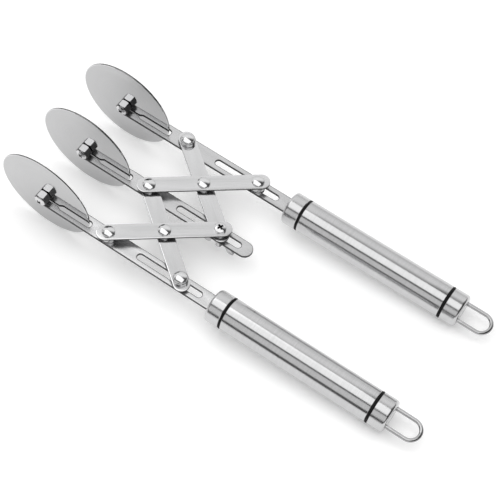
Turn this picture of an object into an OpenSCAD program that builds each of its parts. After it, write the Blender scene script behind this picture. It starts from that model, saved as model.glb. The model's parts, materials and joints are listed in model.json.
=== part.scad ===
// Expandable dough cutter: three cutting discs on slotted stems, joined by a lazy-tongs linkage.
// Millimetres. +X is to the right, +Y runs forward to the discs, +Z is up.
// The cutter lies as on a table: the discs and the rear ends of the grips touch z = 0.

/* [Linkage] */
// Pivot spacing along each link bar
link_l = 63.5; // [58:0.5:75]
// Spacing of neighbouring stems in the stored pose
stem_gap = 39; // [26:0.5:50]
// Steepest link angle from the stems, discs spread apart
open_angle = 68; // [60:0.5:70]
// Smallest link angle from the stems, discs closed up
closed_angle = 15.3; // [15:0.1:20]
// Link bar width
bar_w = 9.8; // [8:0.1:11]
// Length of a link bar past its end pivots
bar_end = 7.1; // [6:0.1:8]
// Link bar thickness
bar_t = 1.2; // [1:0.1:1.6]
// Free height between the layers of stems and bars
layer_gap = 1.6; // [1.5:0.1:2.4]

/* [Stems] */
// Stem width
stem_w = 10; // [9:0.5:12]
// Stem thickness
stem_t = 1.5; // [1.2:0.1:2]
// Front pivot to the rear end of the fork's slit
neck_l = 12.3; // [9:0.1:20]
// Width of the fork's slit
slit_w = 4.2; // [3:0.1:4.6]
// Clear length behind the disc's rim in the slit
slit_run = 1.4; // [1:0.1:4]
// Distance from the axle back to the step in the prongs
jog_back = 9.3; // [8:0.1:16]
// Length of the step in the prongs
jog_l = 1.9; // [1:0.1:4]
// Length of the prong tips in front of the axle
tip_over = 2.8; // [2.2:0.1:4]
// Side gap between a prong tip and the disc
tip_gap = 0.45; // [0.3:0.05:0.7]
// Solid length of the middle stem behind its slot
tail_l = 7.5; // [6:0.1:12]
// Solid length of the outer stems between slot and grip
tang_gap = 7.75; // [6.5:0.05:14]

/* [Discs] */
// Disc diameter
disc_d = 62; // [56:1:72]
// Disc thickness
disc_t = 1; // [0.6:0.1:1.2]
// Width of the ground edge
bevel_w = 0.5; // [0.3:0.1:3]
// Depth of the ground edge on each face
bevel_h = 0.1; // [0.05:0.05:0.25]
// Axle screw diameter
axle_d = 4; // [3.5:0.1:4.5]
// Axle screw head height
axle_head_h = 1.5; // [1.2:0.1:2.4]
// Axle nut size across flats
nut_af = 7.5; // [7:0.1:9]
// Axle nut thickness
nut_t = 4.7; // [3:0.1:5]
// Side gap between a nut and the disc
hub_gap = 0.4; // [0.3:0.05:0.7]
// Length of the axle screw past its far nut
axle_over = 1; // [0.5:0.1:2]

/* [Fasteners] */
// Shank diameter of rivets and lock screw
pivot_d = 4; // [3.5:0.1:4.5]
// Rivet head diameter
head_d = 7.6; // [7:0.1:8.6]
// Rivet head height
head_h = 1.8; // [1.5:0.1:2.4]
// Height of the upright wall under a rivet head's crown
head_wall = 0.6; // [0.3:0.1:1]
// Height of a rivet's closing head
foot_h = 1.2; // [0.8:0.1:1.6]
// Height of the closing head under a bar crossing
cross_foot_h = 0.8; // [0.6:0.1:1]
// Outer diameter of spacers and washers
spacer_d = 9; // [8:0.1:10]
// Washer thickness
washer_t = 0.8; // [0.5:0.1:1.2]
// Screw head diameter
screw_head_d = 7; // [6.6:0.1:8]
// Lock screw head height
lock_head_h = 2.3; // [1.8:0.1:2.8]
// Lock screw reach below the wing nut's seat
lock_reach = 10.8; // [9:0.1:16]
// Wing nut hub diameter at its seat
wing_hub_d = 8.4; // [7.6:0.1:10]
// Wing nut hub height
wing_hub_h = 4.6; // [3.8:0.1:6]
// Wing nut reach from its axis to a wing tip
wing_r = 10.6; // [8.6:0.1:11]
// Wing nut overall height
wing_h = 13; // [10:0.1:14]
// Wing thickness
wing_t = 1.8; // [1.4:0.1:2.4]

/* [Grips] */
// Grip diameter
grip_d = 20; // [18:0.5:24]
// Grip tube wall
tube_wall = 1; // [0.8:0.1:1.6]
// Grip tube length
tube_l = 94.9; // [80:0.1:120]
// Front cap length up to its ring
front_cap_l = 9.4; // [7:0.1:14]
// Rear cap length from its ring
rear_cap_l = 9.8; // [8.6:0.1:14]
// Rounding of the cap edges
cap_round = 2; // [1:0.1:2.6]
// Ring width
ring_w = 1.6; // [1.2:0.1:2.8]
// Length of a cap's plug inside the tube
plug_l = 12; // [8:0.5:20]
// Length of the stem held inside the front cap
tang_l = 14; // [8:0.5:18]
// Wire diameter of the hanging loop
wire_d = 2.5; // [2:0.1:3]
// Spacing of the loop's legs
loop_w = 12.5; // [10:0.1:13]
// Reach of the loop behind the rear cap
loop_l = 19.2; // [15:0.1:26]
// Depth of a loop leg in the rear cap
leg_in = 7.5; // [5:0.5:8]

/* [Clearances] */
// Radial clearance of turning and sliding fits
run_clear = 0.06; // [0.03:0.01:0.1]
// Radial clearance of fixed fits
seat_clear = 0.02; // [0.01:0.01:0.03]
// Axial play between turning faces
play = 0.1; // [0.05:0.05:0.2]
// Clear length past the slide pins at the slot ends
slot_end = 1.5; // [0.1:0.1:2]

/* [Hidden] */
$fn = 64;
disc_r = disc_d / 2;
grip_r = grip_d / 2;
wire_r = wire_d / 2;
slot_w = pivot_d + 2 * run_clear;
pin_front = link_l * cos(open_angle);
pin_rear = link_l * cos(closed_angle);
slot_front = pin_front - slot_end;
slot_rear = pin_rear + slot_end;
slot_tip = slot_rear + slot_w / 2;
link_y = sqrt(link_l * link_l - stem_gap * stem_gap);
link_a = atan2(stem_gap, link_y);
axle_y = neck_l + slit_run + disc_r;
axle_z = nut_af / 2;
slit_y = neck_l + slit_w / 2;
jog_y = axle_y - jog_back;
tip_y = axle_y + tip_over;
tip_in = disc_t / 2 + tip_gap;
nut_in = disc_t / 2 + hub_gap;
nut_out = nut_in + nut_t;
low_z = layer_gap;
low_top = low_z + bar_t;
high_z = low_top + layer_gap;
high_top = high_z + bar_t;
head_z = high_top + play;
stem_under = -stem_t;
slide_foot = stem_under - play - washer_t;
cross_foot = low_z - play;
wing_seat = slide_foot - play;
lock_end = wing_seat - lock_reach;
grip_z = -stem_t / 2;
grip_s = slot_tip + tang_gap;
front_ring_s = grip_s + front_cap_l;
tube_s = front_ring_s + ring_w;
rear_ring_s = tube_s + tube_l;
rear_cap_s = rear_ring_s + ring_w;
grip_end = rear_cap_s + rear_cap_l;
loop_r = loop_w / 2;
loop_s = grip_end + loop_l - loop_r - wire_r;
groove_r = grip_r - ring_w;
ring_r = ring_w / 2 - seat_clear;
bore_r = grip_r - tube_wall;
plug_r = bore_r - seat_clear;
touch_y = cap_round - grip_end;
touch_z = grip_z - grip_r + cap_round;
touch_l = sqrt(pow(axle_y - touch_y, 2) + pow(axle_z - touch_z, 2));
tilt = asin((disc_r - cap_round) / touch_l) - atan2(axle_z - touch_z, axle_y - touch_y);
lift = disc_r - axle_y * sin(tilt) - axle_z * cos(tilt);
front_y = axle_y * cos(tilt) - axle_z * sin(tilt) + disc_r;
rear_y = -loop_s * cos(tilt) - grip_z * sin(tilt) - loop_r * cos(tilt) - wire_r;
shift_y = -(front_y + rear_y) / 2;

// Placing: the stems' top plane tilted down to the table
module at_rest() {
    translate([0, shift_y, lift])
        rotate([tilt, 0, 0])
            children();
}

module satin() {
    color([0.74, 0.74, 0.75]) at_rest() children();
}

module polished() {
    color([0.82, 0.82, 0.83]) at_rest() children();
}

module rubber() {
    color([0.03, 0.03, 0.03]) at_rest() children();
}

// Along a grip: local z counts backwards from the front pivots
module along_grip(x) {
    translate([x, 0, grip_z])
        rotate([90, 0, 0])
            children();
}

// Along an axle: local z runs to the right
module along_axle(x) {
    translate([x, axle_y, axle_z])
        rotate([0, 90, 0])
            children();
}

// Stems: flat strip with pivot hole, slot and fork
// The fork's slit narrows in front of the step, where the prong tips carry the axle nuts
function prong_points(side) = [
    [side * stem_w / 2, tip_y],
    [side * tip_in, tip_y],
    [side * tip_in, jog_y],
    [side * slit_w / 2, jog_y - jog_l],
    [side * slit_w / 2, slit_y]
];

function reversed(list) = [for (i = [len(list) - 1:-1:0]) list[i]];

module stem_holes() {
    circle(d = pivot_d + 2 * seat_clear);
    translate([0, -slot_front])
        circle(d = slot_w);
    translate([0, -slot_rear])
        circle(d = slot_w);
    translate([-slot_w / 2, -slot_rear])
        square([slot_w, slot_rear - slot_front]);
    translate([0, slit_y])
        circle(d = slit_w);
}

module stem_shape(rear, rounded) {
    end = rounded ? rear - stem_w / 2 : rear;
    difference() {
        union() {
            polygon(concat(
                [[-stem_w / 2, -end], [stem_w / 2, -end]],
                prong_points(1),
                reversed(prong_points(-1))
            ));
            if (rounded)
                translate([0, -end])
                    circle(d = stem_w);
        }
        stem_holes();
    }
}

module stem(x, rear, rounded) {
    translate([x, 0, stem_under])
        linear_extrude(stem_t)
            stem_shape(rear, rounded);
}

module left_stem() { satin() stem(-stem_gap, grip_s + tang_l, false); }
module middle_stem() { satin() stem(0, slot_tip + tail_l, true); }
module right_stem() { satin() stem(stem_gap, grip_s + tang_l, false); }

// Cutting discs: thin plate with a double ground edge
module disc(x) {
    along_axle(x)
        rotate_extrude()
            polygon([
                [axle_d / 2 + run_clear, -disc_t / 2],
                [disc_r - bevel_w, -disc_t / 2],
                [disc_r, bevel_h - disc_t / 2],
                [disc_r, disc_t / 2 - bevel_h],
                [disc_r - bevel_w, disc_t / 2],
                [axle_d / 2 + run_clear, disc_t / 2]
            ]);
}

module left_disc() { polished() disc(-stem_gap); }
module middle_disc() { polished() disc(0); }
module right_disc() { polished() disc(stem_gap); }

// Pan head with a cross recess, standing on z = 0
module pan_head(height) {
    dome_r = (pow(screw_head_d / 2, 2) + pow(height, 2)) / (2 * height) + 1.2;
    slot_l = screw_head_d * 0.6;
    slot_b = screw_head_d * 0.15;
    slot_d = height * 0.55;
    difference() {
        intersection() {
            cylinder(d = screw_head_d, h = height);
            translate([0, 0, height - dome_r])
                sphere(r = dome_r);
        }
        translate([-slot_l / 2, -slot_b / 2, height - slot_d])
            cube([slot_l, slot_b, slot_d + 1]);
        translate([-slot_b / 2, -slot_l / 2, height - slot_d])
            cube([slot_b, slot_l, slot_d + 1]);
    }
}

// Axle screws: head on the left, end past the right nut
module axle_screw(x) {
    along_axle(x) {
        translate([0, 0, -nut_out])
            cylinder(d = axle_d, h = 2 * nut_out + axle_over);
        translate([0, 0, -nut_out])
            mirror([0, 0, 1])
                pan_head(axle_head_h);
    }
}

module left_axle_screw() { polished() axle_screw(-stem_gap); }
module middle_axle_screw() { polished() axle_screw(0); }
module right_axle_screw() { polished() axle_screw(stem_gap); }

// Axle nuts: a flat of each sits on a prong tip
module axle_nut(x, start) {
    along_axle(x)
        translate([0, 0, start])
            difference() {
                rotate([0, 0, 30])
                    cylinder(d = nut_af / cos(30), h = nut_t, $fn = 6);
                translate([0, 0, -1])
                    cylinder(d = axle_d + 2 * seat_clear, h = nut_t + 2);
            }
}

module left_head_nut() { polished() axle_nut(-stem_gap, -nut_out); }
module middle_head_nut() { polished() axle_nut(0, -nut_out); }
module right_head_nut() { polished() axle_nut(stem_gap, -nut_out); }
module left_end_nut() { polished() axle_nut(-stem_gap, nut_in); }
module middle_end_nut() { polished() axle_nut(0, nut_in); }
module right_end_nut() { polished() axle_nut(stem_gap, nut_in); }

// Link bars: round-ended strips with two end bores and a middle bore
// fits holds the radial clearance of the front, middle and rear bore
module link(x, dir, z, fits) {
    end = bar_end - bar_w / 2;
    translate([x, 0, z])
        rotate([0, 0, dir * link_a])
            linear_extrude(bar_t)
                difference() {
                    union() {
                        translate([0, end])
                            circle(d = bar_w);
                        translate([-bar_w / 2, -link_l - end])
                            square([bar_w, link_l + 2 * end]);
                        translate([0, -link_l - end])
                            circle(d = bar_w);
                    }
                    for (i = [0:2])
                        translate([0, -link_l * i / 2])
                            circle(d = pivot_d + 2 * fits[i]);
                }
}

module upper_right_link() { satin() link(0, 1, high_z, [run_clear, seat_clear, seat_clear]); }
module lower_right_link() { satin() link(stem_gap, -1, low_z, [run_clear, run_clear, run_clear]); }
module upper_left_link() { satin() link(-stem_gap, 1, high_z, [run_clear, seat_clear, seat_clear]); }
module lower_left_link() { satin() link(0, -1, low_z, [run_clear, run_clear, seat_clear]); }

// Rivets: crowned head from seat upwards, shank, flat closing head below foot
module rivet(x, y, seat, foot, foot_height) {
    crown = head_h - head_wall;
    dome_r = (pow(head_d / 2, 2) + pow(crown, 2)) / (2 * crown);
    translate([x, y, 0]) {
        intersection() {
            translate([0, 0, seat])
                cylinder(d = head_d, h = head_h);
            translate([0, 0, seat + head_h - dome_r])
                sphere(r = dome_r);
        }
        translate([0, 0, foot])
            cylinder(d = pivot_d, h = seat - foot + head_h / 2);
        translate([0, 0, foot - foot_height])
            cylinder(d = head_d, h = foot_height);
    }
}

module front_left_rivet() { polished() rivet(-stem_gap, 0, head_z, stem_under, foot_h); }
module front_middle_rivet() { polished() rivet(0, 0, head_z, stem_under, foot_h); }
module front_right_rivet() { polished() rivet(stem_gap, 0, head_z, stem_under, foot_h); }
module cross_left_rivet() {
    polished() rivet(-stem_gap / 2, -link_y / 2, high_top, cross_foot, cross_foot_h);
}
module cross_right_rivet() {
    polished() rivet(stem_gap / 2, -link_y / 2, high_top, cross_foot, cross_foot_h);
}
module slide_left_rivet() { polished() rivet(-stem_gap, -link_y, head_z, slide_foot, foot_h); }
module slide_right_rivet() { polished() rivet(stem_gap, -link_y, high_top, slide_foot, foot_h); }

// Spacers and washers on the rivets and the lock screw
module ring_between(x, y, z0, z1, fit) {
    translate([x, y, z0])
        difference() {
            cylinder(d = spacer_d, h = z1 - z0);
            translate([0, 0, -1])
                cylinder(d = pivot_d + 2 * fit, h = z1 - z0 + 2);
        }
}

module front_left_spacer() {
    polished() ring_between(-stem_gap, 0, 0, high_z - play, seat_clear);
}
module front_middle_low_spacer() {
    polished() ring_between(0, 0, 0, low_z - play, seat_clear);
}
module front_middle_high_spacer() {
    polished() ring_between(0, 0, low_top + play, high_z - play, seat_clear);
}
module front_right_low_spacer() {
    polished() ring_between(stem_gap, 0, 0, low_z - play, seat_clear);
}
module front_right_high_spacer() {
    polished() ring_between(stem_gap, 0, low_top + play, head_z, seat_clear);
}
module cross_left_spacer() {
    polished() ring_between(-stem_gap / 2, -link_y / 2, low_top + play, high_z, seat_clear);
}
module cross_right_spacer() {
    polished() ring_between(stem_gap / 2, -link_y / 2, low_top + play, high_z, seat_clear);
}
module slide_left_low_spacer() {
    polished() ring_between(-stem_gap, -link_y, play, low_z, seat_clear);
}
module slide_left_high_spacer() {
    polished() ring_between(-stem_gap, -link_y, low_top, head_z, seat_clear);
}
module slide_right_spacer() {
    polished() ring_between(stem_gap, -link_y, play, high_z, seat_clear);
}
module slide_left_washer() {
    polished() ring_between(-stem_gap, -link_y, slide_foot, stem_under - play, seat_clear);
}
module slide_right_washer() {
    polished() ring_between(stem_gap, -link_y, slide_foot, stem_under - play, seat_clear);
}

// Lock on the middle stem: screw, spacers, washer and wing nut
module lock_screw() {
    polished()
        translate([0, -link_y, 0]) {
            translate([0, 0, high_top])
                pan_head(lock_head_h);
            translate([0, 0, lock_end])
                cylinder(d = pivot_d, h = high_top - lock_end);
        }
}
module lock_low_spacer() { polished() ring_between(0, -link_y, play, low_z - play, seat_clear); }
module lock_high_spacer() { polished() ring_between(0, -link_y, low_top + play, high_z, seat_clear); }
module lock_washer() {
    polished() ring_between(0, -link_y, stem_under - play - washer_t, stem_under - play, seat_clear);
}

module wing(side) {
    tip = wing_h * 0.2;
    mirror([side < 0 ? 1 : 0, 0]) {
        polygon([
            [pivot_d / 2 + 0.6, -wing_hub_h * 0.2],
            [wing_hub_d / 2, -wing_hub_h * 0.2],
            [wing_r, -wing_h + tip],
            [wing_r - 2 * tip, -wing_h + tip],
            [pivot_d / 2 + 0.6, -wing_hub_h * 0.9]
        ]);
        translate([wing_r - tip, -wing_h + tip])
            circle(r = tip);
    }
}

module wing_nut() {
    polished()
        translate([0, -link_y, wing_seat])
            difference() {
                union() {
                    translate([0, 0, -wing_hub_h])
                        cylinder(d1 = wing_hub_d - 2, d2 = wing_hub_d, h = wing_hub_h);
                    rotate([0, 0, 90])
                        translate([0, wing_t / 2, 0])
                            rotate([90, 0, 0])
                                linear_extrude(wing_t) {
                                    wing(-1);
                                    wing(1);
                                }
                }
                translate([0, 0, -wing_h - 1])
                    cylinder(d = pivot_d + 2 * run_clear, h = wing_h + 2);
            }
}

// Grip caps: rounded outer end, groove for the ring, plug inside the tube
module cap_profile(cap_l) {
    square([grip_r - cap_round, cap_l]);
    translate([0, cap_round])
        square([grip_r, cap_l - cap_round]);
    translate([grip_r - cap_round, cap_round])
        circle(r = cap_round);
    translate([0, cap_l - 1])
        square([groove_r, ring_w + 2]);
    translate([0, cap_l + ring_w])
        square([plug_r, plug_l]);
}

module front_cap(x) {
    difference() {
        along_grip(x)
            translate([0, 0, grip_s])
                rotate_extrude()
                    cap_profile(front_cap_l);
        translate([
            x - stem_w / 2 - seat_clear,
            -grip_s - tang_l - seat_clear,
            stem_under - seat_clear
        ])
            cube([stem_w + 2 * seat_clear, tang_l + 1, stem_t + 2 * seat_clear]);
    }
}

module rear_cap(x) {
    difference() {
        along_grip(x)
            translate([0, 0, grip_end])
                mirror([0, 0, 1])
                    rotate_extrude()
                        cap_profile(rear_cap_l);
        for (side = [-1, 1])
            along_grip(x)
                translate([side * loop_r, 0, grip_end - leg_in - seat_clear])
                    cylinder(d = wire_d + 2 * seat_clear, h = leg_in + 1);
    }
}

module grip_tube(x) {
    along_grip(x)
        translate([0, 0, tube_s])
            difference() {
                cylinder(r = grip_r, h = tube_l);
                translate([0, 0, -1])
                    cylinder(r = bore_r, h = tube_l + 2);
            }
}

module grip_ring(x, start) {
    along_grip(x)
        translate([0, 0, start + ring_w / 2])
            rotate_extrude()
                translate([grip_r - ring_w / 2, 0])
                    circle(r = ring_r);
}

module hang_loop(x) {
    along_grip(x) {
        for (side = [-1, 1])
            translate([side * loop_r, 0, grip_end - leg_in])
                cylinder(d = wire_d, h = loop_s - grip_end + leg_in);
        translate([0, 0, loop_s])
            rotate([90, 0, 0])
                rotate_extrude(angle = 180)
                    translate([loop_r, 0])
                        circle(d = wire_d);
    }
}

module left_front_cap() { satin() front_cap(-stem_gap); }
module left_front_ring() { rubber() grip_ring(-stem_gap, front_ring_s); }
module left_grip_tube() { satin() grip_tube(-stem_gap); }
module left_rear_ring() { rubber() grip_ring(-stem_gap, rear_ring_s); }
module left_rear_cap() { satin() rear_cap(-stem_gap); }
module left_hang_loop() { polished() hang_loop(-stem_gap); }
module right_front_cap() { satin() front_cap(stem_gap); }
module right_front_ring() { rubber() grip_ring(stem_gap, front_ring_s); }
module right_grip_tube() { satin() grip_tube(stem_gap); }
module right_rear_ring() { rubber() grip_ring(stem_gap, rear_ring_s); }
module right_rear_cap() { satin() rear_cap(stem_gap); }
module right_hang_loop() { polished() hang_loop(stem_gap); }

left_stem();
middle_stem();
right_stem();
left_disc();
middle_disc();
right_disc();
left_axle_screw();
middle_axle_screw();
right_axle_screw();
left_head_nut();
middle_head_nut();
right_head_nut();
left_end_nut();
middle_end_nut();
right_end_nut();
upper_right_link();
lower_right_link();
upper_left_link();
lower_left_link();
front_left_rivet();
front_middle_rivet();
front_right_rivet();
cross_left_rivet();
cross_right_rivet();
slide_left_rivet();
slide_right_rivet();
front_left_spacer();
front_middle_low_spacer();
front_middle_high_spacer();
front_right_low_spacer();
front_right_high_spacer();
cross_left_spacer();
cross_right_spacer();
slide_left_low_spacer();
slide_left_high_spacer();
slide_right_spacer();
slide_left_washer();
slide_right_washer();
lock_screw();
lock_low_spacer();
lock_high_spacer();
lock_washer();
wing_nut();
left_front_cap();
left_front_ring();
left_grip_tube();
left_rear_ring();
left_rear_cap();
left_hang_loop();
right_front_cap();
right_front_ring();
right_grip_tube();
right_rear_ring();
right_rear_cap();
right_hang_loop();
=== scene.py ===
import json
import math

import bmesh
import bpy
from mathutils import Matrix, Vector


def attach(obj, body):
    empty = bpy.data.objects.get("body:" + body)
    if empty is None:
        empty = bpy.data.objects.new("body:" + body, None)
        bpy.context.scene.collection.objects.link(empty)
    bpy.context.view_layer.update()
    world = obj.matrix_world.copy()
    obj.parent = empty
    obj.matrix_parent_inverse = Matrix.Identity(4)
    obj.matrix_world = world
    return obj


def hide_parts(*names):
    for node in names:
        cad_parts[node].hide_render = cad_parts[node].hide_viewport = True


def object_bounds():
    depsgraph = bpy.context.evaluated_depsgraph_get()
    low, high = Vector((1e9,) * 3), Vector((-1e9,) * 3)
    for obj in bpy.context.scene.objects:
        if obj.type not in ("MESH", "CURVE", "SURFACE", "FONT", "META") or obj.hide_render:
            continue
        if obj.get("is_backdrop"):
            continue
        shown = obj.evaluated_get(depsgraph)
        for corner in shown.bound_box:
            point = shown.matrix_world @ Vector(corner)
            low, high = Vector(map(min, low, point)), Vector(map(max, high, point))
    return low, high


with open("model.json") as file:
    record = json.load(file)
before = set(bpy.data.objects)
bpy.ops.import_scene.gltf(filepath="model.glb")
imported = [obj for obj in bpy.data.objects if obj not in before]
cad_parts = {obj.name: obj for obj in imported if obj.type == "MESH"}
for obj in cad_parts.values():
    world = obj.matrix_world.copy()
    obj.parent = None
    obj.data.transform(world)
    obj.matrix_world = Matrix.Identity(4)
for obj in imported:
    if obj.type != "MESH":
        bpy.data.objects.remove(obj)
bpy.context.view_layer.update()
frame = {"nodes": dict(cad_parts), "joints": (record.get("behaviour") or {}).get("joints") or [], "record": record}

# Linkage plane
# Stems, links and grips lie in one plane, tilted so that the discs and the rear of the grips
# touch the table. The hinge of the middle front rivet gives its frame, here in millimetres.
MM = 0.001
joints = {j["name"]: j for j in frame["joints"]}
rides = {n: b for b, ns in frame["record"]["behaviour"]["bodies"].items() for n in ns}
plane_right = Vector((1, 0, 0))
plane_up = Vector(joints["spread"]["axis"]).normalized()
plane_axes = Matrix((plane_right, plane_up.cross(plane_right), plane_up)).transposed()
plane = (Matrix.Translation(joints["spread"]["pos_m"]) @ plane_axes.to_4x4()
         @ Matrix.Scale(MM, 4))
to_plane = plane.inverted()


def pivot(name):
    """Where a joint's axis meets the stems' top face."""
    return to_plane @ Vector(joints[name]["pos_m"])


def span(node):
    """Lowest and highest corner of a node, measured in the linkage plane."""
    spots = [to_plane @ v.co for v in frame["nodes"][node].data.vertices]
    return (Vector([min(s[i] for s in spots) for i in range(3)]),
            Vector([max(s[i] for s in spots) for i in range(3)]))


front = {"left": pivot("left_front"), "middle": pivot("spread"), "right": pivot("right_front")}
cross = {"left": pivot("left_cross"), "right": pivot("right_cross")}
slide = {"left": 2 * cross["left"], "middle": pivot("wing_nut_turn"), "right": 2 * cross["right"]}

# Stems
# Three strips of stainless sheet, cut with a pivot hole, a long slot and a fork for the disc.
# The face is satin finished along its length. The cut edges are slightly rolled and dull, painted near black as
# shade, and the underside is a darker grey.
STEM_WIDTH = 10
STEM_THICK = 1.5
PIVOT_HOLE = 4.04
SLOT_WIDTH = 4.12
SLOT_FROM, SLOT_TO = 22.287, 62.749
SLIT_WIDTH, SLIT_END = 4.2, 14.4
PRONG_STEP, STEP_LENGTH = 35.4, 1.9
PRONG_INNER = 0.95
FORK_EASE = [1, 0.7, 0.6, 0.6]
STEM_ROLL, ROLL_SLOPE = 0.3, 5
ROUNDING_STEPS, ROUNDING_ANGLE = 3, math.radians(40)
CORNER_STEPS = 6
SEAM_GAP = 0.0005
FINE_SHARE, CLOUD_SCALE = 0.75, 55
NOISE_LOW, NOISE_HIGH = 0.3, 0.7
COOL_TINT = 1.008
# A darker grey for faces turned downwards; the sides are painted near black as shade.
UNDERSIDE_GREY, MILL_ROUGH = 0.26, 0.42
SIDE_LEVEL, ROLL_LEVEL = 0.4, 0.9995
FACE_LEVEL, BEVEL_LEVEL, RIM_LEVEL = 0.99, 0.9, 0.3


def node_tree(name, *sizes):
    """A Geometry Nodes tree with named inputs for its sizes and its finish."""
    tree = bpy.data.node_groups.new(name, "GeometryNodeTree")
    sockets = [("Geometry", "Geometry"), *sizes, ("Finish", "Material")]
    for label, kind in sockets:
        tree.interface.new_socket(label, in_out="INPUT", socket_type="NodeSocket" + kind)
    tree.interface.new_socket("Geometry", in_out="OUTPUT", socket_type="NodeSocketGeometry")
    return tree, tree.nodes.new("NodeGroupInput").outputs


def step(tree, kind, feeds=(), **settings):
    """Adds a node; each feed is a socket to link or a value to set."""
    node = tree.nodes.new(kind)
    for key, value in settings.items():
        setattr(node, key, value)
    for key, value in dict(feeds).items():
        if isinstance(value, bpy.types.NodeSocket):
            tree.links.new(value, node.inputs[key])
        else:
            node.inputs[key].default_value = value
    return node


def calc(tree, operation, *values):
    return step(tree, "ShaderNodeMath", dict(enumerate(values)), operation=operation).outputs[0]


def vector(tree, x, y, z):
    return step(tree, "ShaderNodeCombineXYZ", {0: x, 1: y, 2: z}).outputs[0]


def parts_of(tree, socket):
    return step(tree, "ShaderNodeSeparateXYZ", {0: socket}).outputs


def with_grain(tree, geometry, value):
    """Keeps the direction of the finishing lines: x and y run along them, z across them."""
    return step(tree, "GeometryNodeStoreNamedAttribute",
                {"Geometry": geometry, "Name": "grain", "Value": value},
                data_type="FLOAT_VECTOR", domain="POINT").outputs[0]


def close_tree(tree, geometry, *finishes):
    """Ends a tree with its finish; a further finish comes with the faces that take it."""
    made = step(tree, "GeometryNodeRealizeInstances", {"Geometry": geometry}).outputs[0]
    for finish, faces in zip(finishes[::2], (True, *finishes[1::2])):
        made = step(tree, "GeometryNodeSetMaterial",
                    {"Geometry": made, "Selection": faces, "Material": finish}).outputs[0]
    tree.links.new(made, tree.nodes.new("NodeGroupOutput").inputs[0])


def thick_sheet(tree, curves, thickness):
    """A flat outline with holes, filled and given its thickness upwards."""
    face = step(tree, "GeometryNodeFillCurve", {"Curve": curves}, mode="NGONS").outputs[0]
    top = step(tree, "GeometryNodeExtrudeMesh",
               {"Mesh": face, "Offset": (0, 0, 1), "Offset Scale": thickness,
                "Individual": False}).outputs[0]
    under = step(tree, "GeometryNodeFlipFaces", {"Mesh": face}).outputs[0]
    both = step(tree, "GeometryNodeJoinGeometry", {"Geometry": top})
    tree.links.new(under, both.inputs[0])
    closed = step(tree, "GeometryNodeMergeByDistance",
                  {"Geometry": both.outputs[0], "Distance": SEAM_GAP}).outputs[0]
    at = parts_of(tree, tree.nodes.new("GeometryNodeInputPosition").outputs[0])
    return with_grain(tree, closed, vector(tree, at[1], at[2], at[0]))


def evaluated(piece):
    made = bpy.data.meshes.new_from_object(
        piece.evaluated_get(bpy.context.evaluated_depsgraph_get()))
    bpy.data.objects.remove(piece)
    return made


def blank(mesh):
    piece = bpy.data.objects.new("blank", mesh)
    bpy.context.scene.collection.objects.link(piece)
    return piece


def grow(base, tree, finish, edge=0, **sizes):
    """Runs a tree on a base mesh, rounds its sharp edges and gives a plain mesh."""
    piece = blank(base)
    shape = piece.modifiers.new("shape", "NODES")
    shape.node_group = tree
    values = {"Finish": finish, **{k.replace("_", " "): v for k, v in sizes.items()}}
    for item in tree.interface.items_tree:
        if item.in_out == "INPUT" and item.name in values:
            shape[item.identifier] = values[item.name]
    if edge:
        rounding = piece.modifiers.new("rounding", "BEVEL")
        rounding.width, rounding.segments = edge, ROUNDING_STEPS
        rounding.limit_method, rounding.angle_limit = "ANGLE", ROUNDING_ANGLE
        rounding.use_clamp_overlap = False
    return evaluated(piece)


def rolled_sheet(base, tree, finish, thickness, roll, **sizes):
    """Cut sheet with rolled edges, wider than they are deep: grown too thick, then flattened."""
    sheet = grow(base, tree, finish, roll, Thickness=thickness * ROLL_SLOPE, **sizes)
    sheet.transform(Matrix.Diagonal((1, 1, 1 / ROLL_SLOPE, 1)))
    return sheet


def settle(node, mesh, place=Matrix(), corner=15):
    """Puts a made mesh in its node's place and lets it ride there."""
    mesh.transform(plane @ place)
    shell = bmesh.new()
    shell.from_mesh(mesh)
    bmesh.ops.recalc_face_normals(shell, faces=shell.faces)
    shell.to_mesh(mesh)
    shell.free()
    mesh.shade_smooth()
    mesh.set_sharp_from_angle(angle=math.radians(corner))
    piece = bpy.data.objects.new(node + "_piece", mesh)
    bpy.context.scene.collection.objects.link(piece)
    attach(piece, rides[node])
    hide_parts(node)


def arc(x, y, radius, start, stop, count=24):
    turns = [math.radians(start + (stop - start) * i / count) for i in range(count + 1)]
    return [(x + radius * math.cos(t), y + radius * math.sin(t)) for t in turns]


def eased(corners, ease):
    """Rounds the corners of a closed outline; ease gives the cut back at each corner."""
    made = []
    for i, here in enumerate(corners):
        before, after, back = corners[i - 1], corners[(i + 1) % len(corners)], ease[i]
        if not back:
            made.append(here)
            continue
        a = Vector(here) + (Vector(before) - Vector(here)).normalized() * back
        b = Vector(here) + (Vector(after) - Vector(here)).normalized() * back
        for k in range(CORNER_STEPS + 1):
            t = k / CORNER_STEPS
            made.append(tuple(a * (1 - t) ** 2 + Vector(here) * 2 * t * (1 - t) + b * t * t))
    return made


def outline(loops):
    """A mesh of closed loops, for a tree to fill."""
    spots, lines = [], []
    for loop in loops:
        first = len(spots)
        spots += [(x, y, 0) for x, y in loop]
        lines += [(first + i, first + (i + 1) % len(loop)) for i in range(len(loop))]
    mesh = bpy.data.meshes.new("outline")
    mesh.from_pydata(spots, lines, [])
    return mesh


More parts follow.
